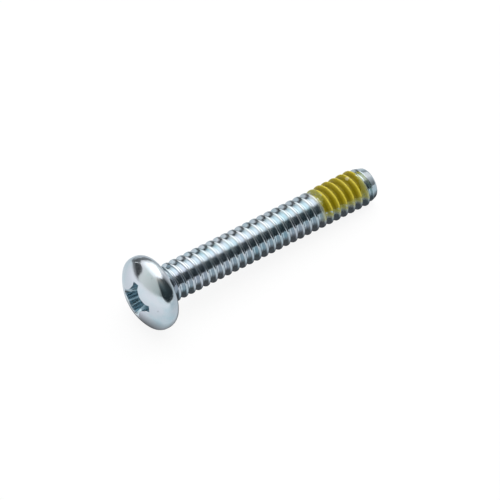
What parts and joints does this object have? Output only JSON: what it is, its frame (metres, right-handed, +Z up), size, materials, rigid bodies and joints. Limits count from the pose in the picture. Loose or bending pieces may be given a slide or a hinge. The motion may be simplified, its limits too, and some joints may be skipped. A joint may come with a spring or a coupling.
{
  "type": "machine screw",
  "caption": "Pan head machine screw with a domed head, cross recess, coarse right-hand thread and a yellow nylon locking patch, lying on its side.",
  "frame": {"origin": "centre of the bounding box, on the surface that the screw lies on", "axes": "+Z up, +X from the head towards the tip, with the shank sloping down to the tip as the screw lies"},
  "size_m": [0.0343, 0.0092, 0.0092],
  "materials": {
    "zinc_plated_steel": "bright zinc plate with a clear bluish passivation",
    "yellow_nylon": "satin nylon, sprayed and fused to the thread"
  },
  "bodies": {
    "root": {"screw": "zinc_plated_steel", "locking_patch": "yellow_nylon"}
  },
  "joints": []
}
